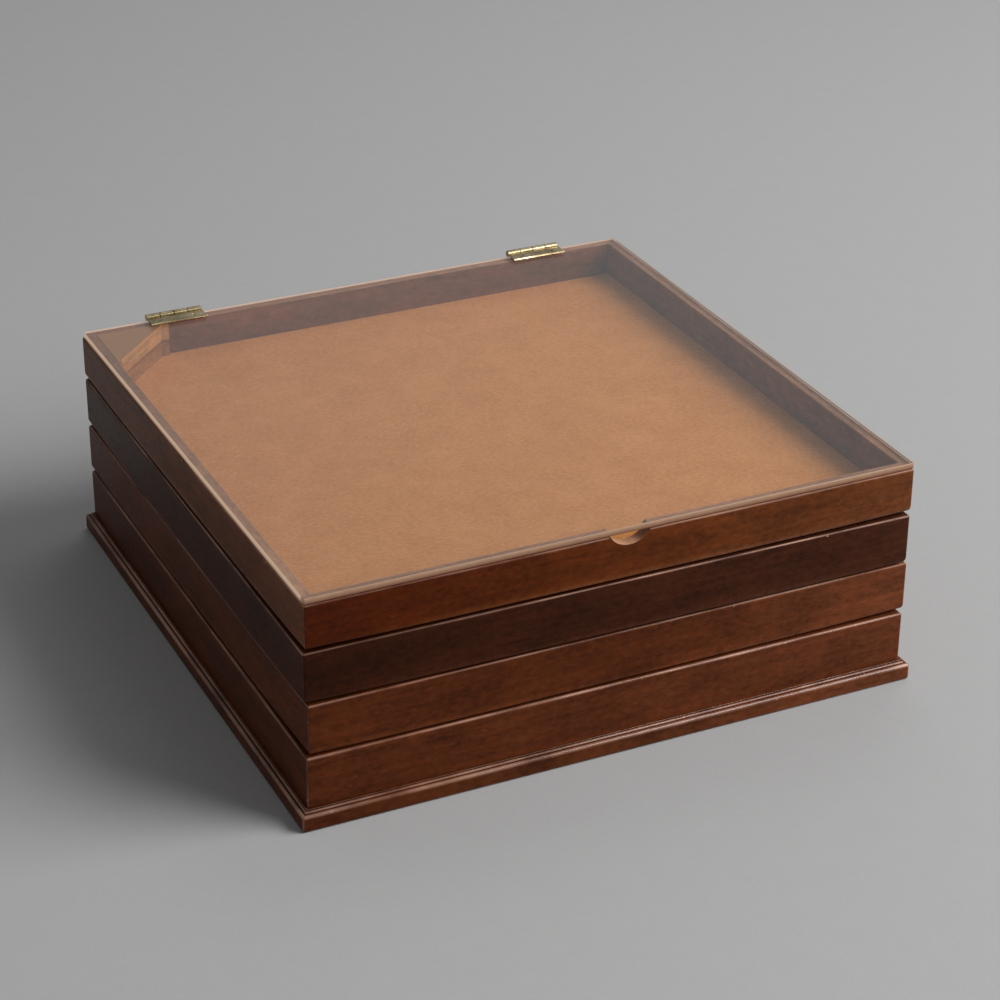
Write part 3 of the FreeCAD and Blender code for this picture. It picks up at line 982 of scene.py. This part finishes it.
class DISPLAYBOX_OT_screws(bpy.types.Operator):
    """Build the slotted countersunk screws of the hinges, two in each leaf"""

    bl_idname = "displaybox.screws"
    bl_label = "Hinge Screws"

    def execute(self, context):
        box = context.scene.display_box
        brass = aged_brass(box.finish)
        for hinge in HINGES:
            for body, kind, upright in (("lid", "_lid_screws", 2), ("top_tier", "_wall_screws", 1)):
                points, faces = self.pair(hinge, hinge + kind, upright, box.hinge)
                piece = new_piece(hinge + kind + "_slotted", swung(points, "top_tier"), faces)
                seat(piece, body, "brass", [brass], hinge + kind)
        return {"FINISHED"}

    def pair(self, hinge, node, upright, settings):
        """Two screws of a leaf, whose heads look along one axis and fill the leaf's thickness."""
        pin_low, pin_high = square_box(hinge + "_pin")
        head_height = pin_low[2] + pin_high[2] - 2 * square_box("acrylic_lid")[1][2]
        screws = square_box(node)
        across = 3 - upright
        shape, faces = screw_surface(
            (screws[1][across] - screws[0][across]) / 2, settings.shank_radius, head_height,
            screws[1][upright] - screws[0][upright], settings.slot_width, settings.slot_depth,
        )
        both = []
        for turn, centre in zip(SLOT_TURNS, screw_centres(screws, across)):
            one = turned(shape, turn)
            spot = np.array([centre[0], 0, 0])
            spot[across], spot[upright] = centre[1], screws[1][upright]
            both.append(((to_wall(one) if upright == 1 else one) + spot, faces))
        return joined(both)


# Felt, panels and the pieces at the pivot


def felt_pad(low, high):
    """Soft square pad in a box: a superellipsoid, whose sine and cosine are raised to low powers."""
    latitude = np.linspace(-QUARTER_TURN, QUARTER_TURN, PAD_GRID[0])[:, None]
    longitude = np.linspace(0, FULL_TURN, PAD_GRID[1])[None, :]

    def power(value, exponent):
        """Power that keeps the value's sign."""
        return np.sign(value) * np.abs(value) ** exponent

    spots = np.sin(PAD_SPOTS[0] * longitude) * np.sin(PAD_SPOTS[1] * latitude)
    flank = power(np.cos(latitude), PAD_FLANK) * (1 - PAD_FUZZ * (1 + spots))
    shape = np.stack([
        flank * power(np.cos(longitude), PAD_PLAN),
        flank * power(np.sin(longitude), PAD_PLAN),
        np.broadcast_to(power(np.sin(latitude), PAD_CROWN), flank.shape),
    ], -1)
    return (low + high) / 2 + shape * (high - low) / 2


class DISPLAYBOX_OT_felt_glides(bpy.types.Operator):
    """Build the soft felt pads under the free corners of the swinging tiers"""

    bl_idname = "displaybox.felt_glides"
    bl_label = "Felt Glides"

    def execute(self, context):
        felt = pressed_felt(context.scene.display_box.finish)
        for tier in SWINGING_TIERS:
            node = tier + "_felt_glides"
            corners = squared(corners_of(node), tier)
            pads = []
            for signs in FREE_CORNERS:
                near = corners[(np.sign(corners[:, :2]) == signs).all(1)]
                pads.append((felt_pad(near.min(0), near.max(0)), grid_faces(*PAD_GRID, close_rows=False)))
            points, faces = joined(pads)
            piece = new_piece(node + "_soft", swung(points, tier), faces)
            seat(piece, tier, "felt", [felt], node)
        return {"FINISHED"}


class DISPLAYBOX_OT_inner_pieces(bpy.types.Operator):
    """Finish the floor panels, the corner blocks and the pieces on the pivot"""

    bl_idname = "displaybox.inner_pieces"
    bl_label = "Panels and Pivot"

    def execute(self, context):
        finish = context.scene.display_box.finish
        board, steel = hardboard(finish), zinc_steel(finish)
        for tier in ("base_tier", *SWINGING_TIERS):
            block = tier + "_pivot_block"
            low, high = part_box(block)
            dress(tier + "_floor_panel", board)
            dress(block, block_wood("wood_" + block, finish, low[2], high[2]))
        washers = [tier + "_pivot_washer" for tier in SWINGING_TIERS]
        for node in (*washers, "bolt_head_washer", "pivot_bolt", "threaded_insert"):
            dress(node, steel)
        return {"FINISHED"}


# Shader nodes


def feed(tree, node, values):
    """Set a node's inputs, by name or number, from sockets or plain values."""
    for key, value in values.items():
        if isinstance(value, bpy.types.NodeSocket):
            tree.links.new(value, node.inputs[key])
        else:
            node.inputs[key].default_value = value


def add(tree, kind, values=None, **settings):
    """New node with its settings and its inputs."""
    new = tree.nodes.new(kind if kind.startswith("NodeGroup") else "ShaderNode" + kind)
    for key, value in settings.items():
        setattr(new, key, value)
    feed(tree, new, values or {})
    return new


def mix(tree, share, first, second, blend="MIX"):
    """Mix of two colours."""
    values = {0: share, 6: first, 7: second}
    return add(tree, "Mix", values, data_type="RGBA", blend_type=blend).outputs[2]


def spread(tree, value, source, target=(0.0, 1.0)):
    """Value spread from one range to another, held at its ends."""
    values = {
        "Value": value,
        "From Min": source[0], "From Max": source[1],
        "To Min": target[0], "To Max": target[1],
    }
    return add(tree, "MapRange", values).outputs["Result"]


def combine(tree, operation, first, second):
    """Two numbers combined."""
    return add(tree, "Math", {0: first, 1: second}, operation=operation).outputs[0]


def weighted(tree, *parts):
    """Sum of values, each times its weight."""
    total, *others = [combine(tree, "MULTIPLY", value, weight) for value, weight in parts]
    for other in others:
        total = combine(tree, "ADD", total, other)
    return total


def noise(tree, place, scale, detail=3.0, roughness=0.55, distortion=0.0):
    """Noise on a place stretched by a scale, in cycles per metre, for all axes or for each."""
    stretched = add(tree, "Mapping", {"Vector": place, "Scale": np.broadcast_to(scale, 3).tolist()})
    values = {
        "Vector": stretched.outputs[0], "Scale": 1.0, "Detail": detail,
        "Roughness": roughness, "Distortion": distortion,
    }
    return add(tree, "TexNoise", values).outputs["Fac"]


def attribute(tree, name, output="Fac"):
    """Attribute of the piece."""
    return add(tree, "Attribute", attribute_name=name).outputs[output]


def axis(tree, vector, letter):
    """One coordinate of a vector."""
    return add(tree, "SeparateXYZ", {0: vector}).outputs[letter]


def object_place(tree):
    """Place on the piece, in metres."""
    return add(tree, "TexCoord").outputs["Object"]


def rgba(colour_value):
    """Colour with full alpha."""
    return (*colour_value[:3], 1.0)


def kept_group(name, inputs, outputs, fill):
    """Shader node group of a name, made on its first use.

    fill gets the group and its input sockets, and returns what feeds each output.
    """
    if name not in bpy.data.node_groups:
        group = bpy.data.node_groups.new(name, "ShaderNodeTree")
        for way, sockets in (("INPUT", inputs), ("OUTPUT", outputs)):
            for label, kind in sockets.items():
                group.interface.new_socket(label, in_out=way, socket_type="NodeSocket" + kind)
        results = fill(group, add(group, "NodeGroupInput").outputs)
        add(group, "NodeGroupOutput", results)
    return bpy.data.node_groups[name]


def wood_grain():
    """Group for wood figure along a board: streaks, clouds, dark pores and pale specks in two tones."""

    def fill(group, given):
        board = given["Place"]
        streaks = noise(group, board, (9, 240, 240), detail=5.0, roughness=0.6, distortion=0.5)
        clouds = noise(group, board, (24, 52, 52), detail=7.0, roughness=0.7, distortion=0.5)
        mottle = noise(group, board, (240, 420, 420), roughness=0.6)
        pores = spread(group, noise(group, board, (120, 1700, 1700), detail=1.5), (0.56, 0.76))
        specks = spread(group, noise(group, board, (200, 330, 330), detail=2.0), (0.70, 0.80), (0.0, 0.5))
        tone = weighted(group, (streaks, 0.25), (clouds, 0.45), (mottle, 0.30))
        figure = mix(group, spread(group, tone, (0.39, 0.61)), given["Deep"], given["Light"])
        pored = mix(group, weighted(group, (pores, 0.16)), figure, given["Pore"])
        satin = spread(group, tone, (0.3, 0.7), (0.30, 0.40))
        return {
            "Color": mix(group, specks, pored, given["Light"], "ADD"),
            "Roughness": combine(group, "ADD", satin, weighted(group, (pores, 0.2))),
            "Height": combine(group, "SUBTRACT", weighted(group, (streaks, 0.35)), pores),
        }

    inputs = {"Place": "Vector", "Deep": "Color", "Light": "Color", "Pore": "Color"}
    outputs = {"Color": "Color", "Roughness": "Float", "Height": "Float"}
    return kept_group("wood_grain", inputs, outputs, fill)


def edge_wear_and_highlight():
    """Group for worn edges, partly painted highlights: a patchy mask along an edge, with small chips beside
    it.
    """

    # The patchy line is real wear and a painted highlight, and the chips are real wear
    def fill(group, given):
        board, wear = given["Place"], given["Wear"]
        line = combine(group, "POWER", wear, given["Focus"])
        uneven = noise(group, board, (28, 60, 60), detail=4.0, roughness=0.65)
        lightened = combine(group, "MULTIPLY", spread(group, uneven, (0.35, 0.65), (0.15, 1.0)), line)
        chips = spread(group, noise(group, board, 330, detail=1.0), (0.73, 0.80))
        chipped = combine(group, "MULTIPLY", chips, spread(group, wear, (0.2, 0.5)))
        return {"Mask": combine(group, "MAXIMUM", lightened, chipped)}

    inputs = {"Place": "Vector", "Wear": "Float", "Focus": "Float"}
    return kept_group("edge_wear_and_highlight", inputs, {"Mask": "Float"}, fill)


def fibres():
    """Group for pressed fibre: fine flecks over soft clouds, in two tones, with a height."""

    def fill(group, given):
        clouds = noise(group, given["Place"], 60, detail=6.0, roughness=0.7, distortion=0.4)
        flecks = noise(group, given["Place"], (420, 600, 540), detail=4.0, roughness=0.65)
        tone = spread(group, weighted(group, (clouds, 0.38), (flecks, 0.62)), (0.38, 0.62))
        return {"Color": mix(group, tone, given["Deep"], given["Light"]), "Height": flecks}

    inputs = {"Place": "Vector", "Deep": "Color", "Light": "Color"}
    return kept_group("fibres", inputs, {"Color": "Color", "Height": "Float"}, fill)


def tarnish():
    """Group for aged metal: patches of dull film over the clean colour, rough where it lies."""

    def fill(group, given):
        patches = noise(group, given["Place"], 110, roughness=0.5, distortion=0.2)
        film = spread(group, combine(group, "ADD", patches, given["Cover"]), (0.30, 0.85))
        return {
            "Color": mix(group, film, given["Clean"], given["Film"]),
            "Roughness": spread(group, film, (0.0, 1.0), (0.14, 0.32)),
            "Height": noise(group, given["Place"], 2600, detail=2.0),
        }

    inputs = {"Place": "Vector", "Clean": "Color", "Film": "Color", "Cover": "Float"}
    outputs = {"Color": "Color", "Roughness": "Float", "Height": "Float"}
    return kept_group("tarnish", inputs, outputs, fill)


def two_toned(tree, group, place, base, contrast, **others):
    """Outputs of a figure group in a darker and a lighter tone of a colour.

    The contrast is one share for all channels or one for each.
    """
    value, share = np.array(base[:3]), np.array(contrast)
    deep, light = value * (1 - share), np.minimum(value * (1 + share), 1)
    values = {"Place": place, "Deep": rgba(deep), "Light": rgba(light), **others}
    return add(tree, "Group", values, node_tree=group).outputs


# Finishes


def new_finish(name):
    """New material with its tree and its principled shader."""
    material = bpy.data.materials.new(name)
    material.use_nodes = True
    return material, material.node_tree, material.node_tree.nodes["Principled BSDF"]


def relief(tree, height, strength, distance):
    """Normal of a fine relief from a height."""
    return add(tree, "Bump", {"Strength": strength, "Distance": distance, "Height": height}).outputs[0]


def stained_wood(part, stain, finish):
    """Stained and satin-varnished wood: figure along each board, worn edges and raw cuts.

    Painted light and shade scale the stain, and painted light from below lifts the foot of a lower ease.
    Where the painted light brightens the stain, green and blue grow by higher powers than red. The worn
    line of an edge is partly a painted highlight.
    """
    look = WOOD_LOOKS[part]
    material, tree, shader = new_finish("stained_wood_" + part)
    board = attribute(tree, "board", "Vector")
    worn, raw, painted_underlight, painted_light = (attribute(tree, name) for name in ("wear", "raw", "painted_underlight", "painted_light"))
    pore = rgba(finish.pore)
    grain = two_toned(tree, wood_grain(), board, stain, contrast=0.45, Pore=pore)
    cut = two_toned(tree, wood_grain(), board, finish.raw_wood, contrast=0.35, Pore=pore)
    # Painted light from below and painted light and shade, turned into a colour that scales the stain
    lightened = spread(tree, combine(tree, "POWER", painted_underlight, PAINTED_UNDERLIGHT_POWER), (0.0, 1.0), (1.0, PAINTED_UNDERLIGHT_GAIN))
    red = combine(tree, "MULTIPLY", painted_light, lightened)
    green, blue = (combine(tree, "POWER", red, power) for power in look.painted_light_powers)
    painted_light_colour = add(tree, "CombineColor", {0: red, 1: green, 2: blue}).outputs[0]
    figure = mix(tree, 1.0, grain["Color"], painted_light_colour, "MULTIPLY")
    values = {"Place": board, "Wear": worn, "Focus": look.wear_focus}
    mask = add(tree, "Group", values, node_tree=edge_wear_and_highlight()).outputs["Mask"]
    # Worn line of an edge: partly real wear and partly a painted highlight
    share = combine(tree, "MULTIPLY", mask, spread(tree, painted_light, WEAR_PAINTED_LIGHT, (look.wear_start, 1.0)))
    skin = mix(tree, share, figure, rgba(finish.worn_edge_and_highlight))
    shine = combine(tree, "POWER", worn, look.wear_focus / 2)
    feed(tree, shader, {
        "Base Color": mix(tree, raw, skin, cut["Color"]),
        "Roughness": combine(tree, "ADD", grain["Roughness"], weighted(tree, (raw, RAW_ROUGHNESS))),
        "Coat Weight": weighted(tree, (shine, look.edge_shine)),
        "Coat Roughness": 0.12,
        "Specular IOR Level": 0.08,
        "Normal": relief(tree, grain["Height"], strength=0.1, distance=0.15 * MM),
    })
    return material


def block_wood(name, finish, foot, top):
    """Corner block: thinly stained sides with a glue line at about half height, and a dark top.

    The grain runs across the diagonal face, and the layer below the glue line is browner.
    """
    material, tree, shader = new_finish(name)
    place = add(tree, "TexCoord").outputs
    across = add(tree, "Mapping", {"Vector": place["Object"], "Rotation": (0, 0, math.radians(-45))})
    grain = two_toned(
        tree, wood_grain(), across.outputs[0], finish.block_wood, contrast=0.42, Pore=rgba(finish.pore)
    )
    level = spread(tree, axis(tree, place["Object"], "Z"), (foot, top))
    lower = mix(tree, spread(tree, level, BLOCK_LOWER), WHITE, rgba(finish.block_lower))
    off_line = combine(tree, "ABSOLUTE", combine(tree, "SUBTRACT", level, GLUE_LEVEL), 0.0)
    lined = mix(tree, spread(tree, off_line, GLUE_WIDTH), lower, rgba(finish.glue_line))
    sides = mix(tree, 1.0, grain["Color"], lined, "MULTIPLY")
    stain = mix(tree, BLOCK_TOP, rgba(finish.top_stain), rgba(finish.block_wood))
    is_top = spread(tree, axis(tree, place["Normal"], "Z"), BLOCK_TURN)
    feed(tree, shader, {
        "Base Color": mix(tree, is_top, sides, stain),
        "Roughness": grain["Roughness"],
        "Specular IOR Level": 0.2,
        "Normal": relief(tree, grain["Height"], strength=0.2, distance=0.2 * MM),
    })
    return material


def hardboard(finish):
    """Tan hardboard: fine pressed fibres over soft clouds, with painted light a little brighter towards the
    right.
    """
    material, tree, shader = new_finish("hardboard")
    place = object_place(tree)
    fibre = two_toned(tree, fibres(), place, finish.hardboard, contrast=(0.14, 0.23, 0.50))
    # Painted light: the panels darker to the left and brighter to the right
    painted_falloff = spread(tree, axis(tree, place, "X"), (-PANEL_LIGHT_REACH, PANEL_LIGHT_REACH), PANEL_LIGHT_ENDS)
    feed(tree, shader, {
        "Base Color": mix(tree, 1.0, fibre["Color"], painted_falloff, "MULTIPLY"),
        "Roughness": spread(tree, fibre["Height"], (0.3, 0.7), (0.55, 0.72)),
        "Specular IOR Level": 0.25,
        "Normal": relief(tree, fibre["Height"], strength=0.25, distance=0.1 * MM),
    })
    return material


def pressed_felt(finish):
    """Dark felt: matted fibres with a soft sheen."""
    material, tree, shader = new_finish("pressed_felt")
    fibre = two_toned(tree, fibres(), object_place(tree), finish.felt, contrast=0.5)
    feed(tree, shader, {
        "Base Color": fibre["Color"],
        "Roughness": 0.95,
        "Sheen Weight": 0.4,
        "Normal": relief(tree, fibre["Height"], strength=0.6, distance=0.2 * MM),
    })
    return material


def metal(name, clean, film, cover):
    """Metal under a patchy film, made on its first use."""
    if name in bpy.data.materials:
        return bpy.data.materials[name]
    material, tree, shader = new_finish(name)
    values = {"Place": object_place(tree), "Clean": rgba(clean), "Film": rgba(film), "Cover": cover}
    aged = add(tree, "Group", values, node_tree=tarnish()).outputs
    feed(tree, shader, {
        "Base Color": aged["Color"],
        "Roughness": aged["Roughness"],
        "Metallic": 1.0,
        "Normal": relief(tree, aged["Height"], strength=0.1, distance=0.05 * MM),
    })
    return material


def aged_brass(finish):
    """Antique brass of the hinges."""
    return metal("aged_brass", finish.brass, finish.tarnish, cover=0.1)


def zinc_steel(finish):
    """Zinc-plated steel of the bolt and washers."""
    dull = [value * STEEL_DULLING for value in finish.steel]
    return metal("zinc_steel", finish.steel, dull, cover=-0.08)


def clear_acrylic(finish):
    """Clear acrylic sheet with a faint haze and dust, which lets rays towards lights straight through."""
    material, tree, shader = new_finish("clear_acrylic")
    place = object_place(tree)
    haze = spread(tree, noise(tree, place, 18, detail=4.0, roughness=0.6), (0.4, 0.7), (0.004, 0.02))
    dust = spread(tree, noise(tree, place, 900, detail=1.0), (0.72, 0.80))
    feed(tree, shader, {
        "Base Color": rgba(finish.acrylic),
        "Roughness": combine(tree, "ADD", haze, weighted(tree, (dust, 0.25))),
        "Transmission Weight": 1.0,
        "IOR": 1.49,
    })
    is_shadow = add(tree, "LightPath").outputs["Is Shadow Ray"]
    clear = add(tree, "BsdfTransparent", {"Color": rgba(finish.acrylic_shade)})
    both = add(tree, "MixShader", {0: is_shadow, 1: shader.outputs[0], 2: clear.outputs[0]})
    feed(tree, tree.nodes["Material Output"], {"Surface": both.outputs[0]})
    return material


def sawn_acrylic(finish, low, high):
    """Sawn edge of the acrylic: frosted, with fine marks, and a painted glow for light that runs in the
    sheet.

    The painted glow is least on the front edge and palest on the rear edge. Towards its foot the rest of
    the edge takes on a painted reflection of the stained wood below.
    """
    material, tree, shader = new_finish("sawn_acrylic")
    place = object_place(tree)
    along, upward = axis(tree, place, "Y"), axis(tree, place, "Z")
    marks = noise(tree, place, (260, 260, 500))
    frosted = mix(tree, spread(tree, marks, (0.3, 0.7)), rgba(finish.sawn_deep), rgba(finish.sawn_light))
    behind_front = spread(tree, along, (low[1] + GLOW_NEAR, low[1] + GLOW_FAR))
    at_rear = spread(tree, along, (high[1] - GLOW_FAR, high[1] - GLOW_NEAR))
    # Painted reflection of the stained wood below: strongest at the edge's foot and none at the rear
    clean_height = low[2] + CLEAN_EDGE * (high[2] - low[2])
    near_foot = spread(tree, upward, (clean_height, low[2]))
    stained = combine(tree, "MULTIPLY", near_foot, spread(tree, at_rear, (1, 0)))
    wood_reflection_tint = mix(tree, stained, WHITE, rgba(finish.painted_wood_reflection))
    # Painted glow: emission that stands in for light carried in the sheet, least at the front and palest at
    # the rear
    pale = mix(tree, at_rear, rgba(finish.side_painted_glow), rgba(finish.rear_painted_glow))
    painted_glow = mix(tree, behind_front, rgba(finish.front_painted_glow), pale)
    feed(tree, shader, {
        "Base Color": mix(tree, 1.0, frosted, wood_reflection_tint, "MULTIPLY"),
        "Roughness": spread(tree, marks, (0.3, 0.7), (0.35, 0.55)),
        "Specular IOR Level": 0.2,
        "Emission Color": mix(tree, 1.0, painted_glow, wood_reflection_tint, "MULTIPLY"),
        "Emission Strength": 0.42,
    })
    return material


# Stage


def aimed(place, target, roll=0.0):
    """Matrix of a camera or light at a place that looks at a target, tilted about its view."""
    view = (Vector(target) - Vector(place)).to_track_quat("-Z", "Y").to_matrix().to_4x4()
    return Matrix.Translation(place) @ view @ Matrix.Rotation(roll, 4, "Z")


class DISPLAYBOX_OT_stage(bpy.types.Operator):
    """Build the pale floor, the soft lights and the camera"""

    bl_idname = "displaybox.stage"
    bl_label = "Stage"

    def execute(self, context):
        stage = context.scene.display_box.stage
        self.build_floor(stage)
        self.build_world(context.scene, stage)
        self.build_light("key_softbox", stage.key_power, *KEY_LIGHT, stage)
        self.build_light("overhead_softbox", stage.top_power, *OVERHEAD_LIGHT, stage)
        self.build_light("rear_card", stage.card_power, *CARD_LIGHT, stage)
        self.build_camera(context.scene, stage)
        return {"FINISHED"}

    def build_floor(self, stage):
        """Round pale floor: rings of growing radius, so that it is fine near the box."""
        radius = np.concatenate([[0.0], np.geomspace(*FLOOR_RINGS, FLOOR_GRID[0] - 1)])[:, None]
        t = np.linspace(0, FULL_TURN, FLOOR_GRID[1])[None, :]
        points = np.stack([radius * np.cos(t), radius * np.sin(t), np.zeros(FLOOR_GRID)], -1)
        floor = new_piece("floor", points, grid_faces(*FLOOR_GRID, close_rows=False))
        material, tree, shader = new_finish("pale_floor")
        fibre = two_toned(tree, fibres(), object_place(tree), stage.floor_colour, contrast=0.02)
        feed(tree, shader, {"Base Color": fibre["Color"], "Roughness": 0.85, "Specular IOR Level": 0.2})
        floor.data.materials.append(material)

    def build_world(self, scene, stage):
        """Even surround, and colours shown as they are."""
        scene.world = bpy.data.worlds.new("grey_surround")
        scene.world.use_nodes = True
        tree = scene.world.node_tree
        feed(tree, tree.nodes["Background"], {"Color": WHITE, "Strength": stage.surround})
        scene.view_settings.view_transform = "Standard"

    def build_light(self, name, power, size, place, stage):
        """Round soft light aimed at the box."""
        data = bpy.data.lights.new(name, "AREA")
        data.shape = "DISK"
        data.size = size
        data.energy = power
        lamp = bpy.data.objects.new(name, data)
        bpy.context.scene.collection.objects.link(lamp)
        lamp.matrix_world = aimed(place, stage.target)

    def build_camera(self, scene, stage):
        """Camera round its target by azimuth, elevation and distance."""
        data = bpy.data.cameras.new("camera")
        data.lens = stage.lens
        data.sensor_width = SENSOR
        camera = bpy.data.objects.new("camera", data)
        scene.collection.objects.link(camera)
        level = stage.distance * math.cos(stage.elevation)
        back = Vector((
            math.sin(stage.azimuth) * level,
            -math.cos(stage.azimuth) * level,
            stage.distance * math.sin(stage.elevation),
        ))
        target = Vector(stage.target)
        camera.matrix_world = aimed(target + back, target, stage.roll)
        scene.camera = camera


class DISPLAYBOX_PT_panel(bpy.types.Panel):
    """Sidebar panel with the display box's steps and settings"""

    bl_idname = "DISPLAYBOX_PT_panel"
    bl_label = "Display Box"
    bl_space_type = "VIEW_3D"
    bl_region_type = "UI"
    bl_category = "Display Box"

    def draw(self, context):
        box = context.scene.display_box
        for operator in OPERATORS:
            self.layout.operator(operator.bl_idname)
        for group in (box.tier, box.moulding, box.lid, box.hinge, box.finish, box.stage):
            column = self.layout.box().column()
            for name in group.bl_rna.properties.keys():
                if name not in ("name", "rna_type"):
                    column.prop(group, name)


OPERATORS = (
    DISPLAYBOX_OT_base_moulding,
    DISPLAYBOX_OT_tier_walls,
    DISPLAYBOX_OT_inner_pieces,
    DISPLAYBOX_OT_felt_glides,
    DISPLAYBOX_OT_lid,
    DISPLAYBOX_OT_hinges,
    DISPLAYBOX_OT_screws,
    DISPLAYBOX_OT_stage,
)
SETTINGS = (
    TierSettings,
    MouldingSettings,
    LidSettings,
    HingeSettings,
    FinishSettings,
    StageSettings,
    DisplayBoxSettings,
)
CLASSES = (*SETTINGS, *OPERATORS, DISPLAYBOX_PT_panel)


def register():
    """Make the settings, the operators and the panel known."""
    for cls in CLASSES:
        bpy.utils.register_class(cls)
    bpy.types.Scene.display_box = PointerProperty(type=DisplayBoxSettings)


def unregister():
    """Take them out again."""
    del bpy.types.Scene.display_box
    for cls in reversed(CLASSES):
        bpy.utils.unregister_class(cls)


def main():
    """Build every piece and the stage."""
    register()
    bpy.ops.displaybox.base_moulding()
    bpy.ops.displaybox.tier_walls()
    bpy.ops.displaybox.inner_pieces()
    bpy.ops.displaybox.felt_glides()
    bpy.ops.displaybox.lid()
    bpy.ops.displaybox.hinges()
    bpy.ops.displaybox.screws()
    bpy.ops.displaybox.stage()


if __name__ == "__main__":
    main()
